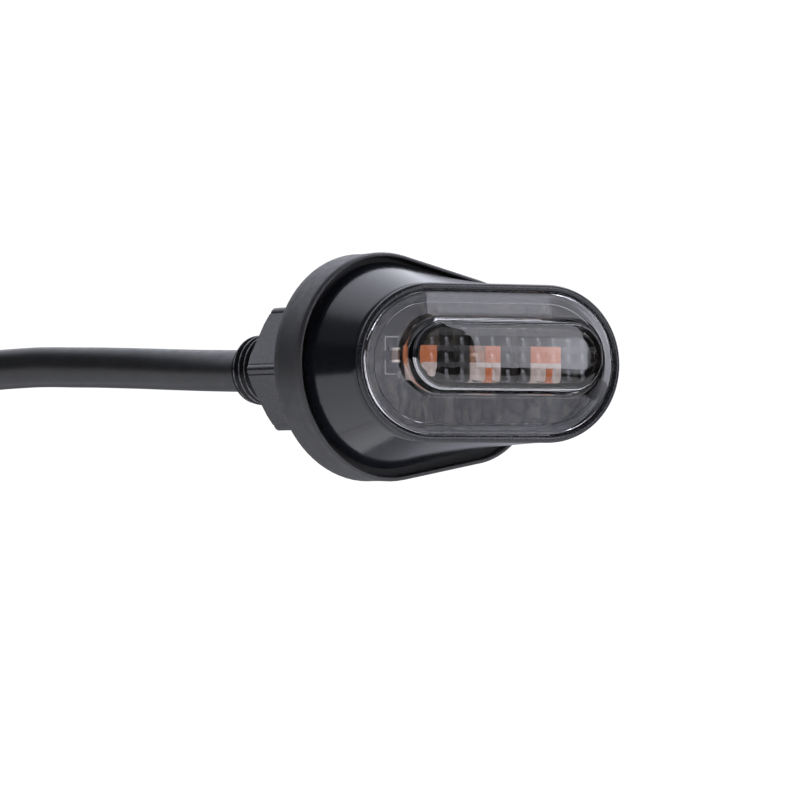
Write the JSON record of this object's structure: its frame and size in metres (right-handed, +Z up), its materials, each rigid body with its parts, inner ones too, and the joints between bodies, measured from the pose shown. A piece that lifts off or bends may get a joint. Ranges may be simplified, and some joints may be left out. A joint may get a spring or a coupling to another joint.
{
  "type": "turn signal indicator",
  "caption": "Flush-mount motorcycle turn signal: smoked lens in a black housing on a rubber pad, hollow threaded stem with nut, two-wire lead.",
  "frame": {"origin": "on the stem's axis, in the plane of the rubber pad's back face, where it meets the panel", "axes": "+Y runs along the stem behind the panel, -Y points outboard towards the lens, +Z is up"},
  "size_m": [0.0673, 0.1227, 0.1522],
  "materials": {
    "pad_rubber": "matt black moulded rubber with a fine grain",
    "housing_paint": "die-cast aluminium, satin black powder coat",
    "smoked_lens": "smoked polycarbonate, polished",
    "seal_rubber": "black silicone",
    "board": "black solder resist",
    "led": "amber LED package",
    "capacitor": "brown ceramic chip",
    "chip": "black moulded package",
    "stem_steel": "black oxide on steel",
    "fastener_steel": "black zinc plate on steel",
    "grommet_rubber": "black rubber",
    "feed_insulation": "orange PVC insulation",
    "ground_insulation": "black PVC insulation",
    "cable_jacket": "black soft PVC sheath",
    "heat_shrink": "black shrunk tubing",
    "terminal_brass": "plain brass",
    "terminal_cap": "dark soft PVC cap"
  },
  "bodies": {
    "lamp": {"mounting_pad": "pad_rubber", "housing": "housing_paint", "lens": "smoked_lens", "lens_seal": "seal_rubber", "circuit_board": "board", "threaded_stem": "stem_steel", "wire_grommet": "grommet_rubber", "led_1": "led", "led_2": "led", "led_3": "led", "filter_capacitor": "capacitor", "input_capacitor": "capacitor", "driver_chip": "chip", "protection_diode": "chip", "current_resistor_1": "chip", "current_resistor_2": "chip", "feed_wire": "feed_insulation", "ground_wire": "ground_insulation", "cable_jacket": "cable_jacket", "jacket_end_sleeve": "heat_shrink", "feed_tail": "feed_insulation", "ground_tail": "ground_insulation", "feed_terminal": "terminal_brass", "ground_terminal": "terminal_brass", "feed_terminal_cap": "terminal_cap", "ground_terminal_cap": "terminal_cap"},
    "washer": {"lock_washer": "fastener_steel"},
    "nut": {"hex_nut": "fastener_steel"}
  },
  "joints": [
    {"name": "nut_travel", "type": "slide", "parent": "lamp", "child": "washer", "axis": [0, 1, 0], "range_m": [-0.0034, 0.0105]},
    {"name": "nut_turn", "type": "hinge", "parent": "washer", "child": "nut", "pos_m": [0, 0.0102, 0], "axis": [0, 1, 0], "range_deg": [-979.2, 3024]}
  ],
  "couplings": [
    {"joint": "nut_travel", "follows": "nut_turn", "m_per_rad": 0.00019894}
  ]
}
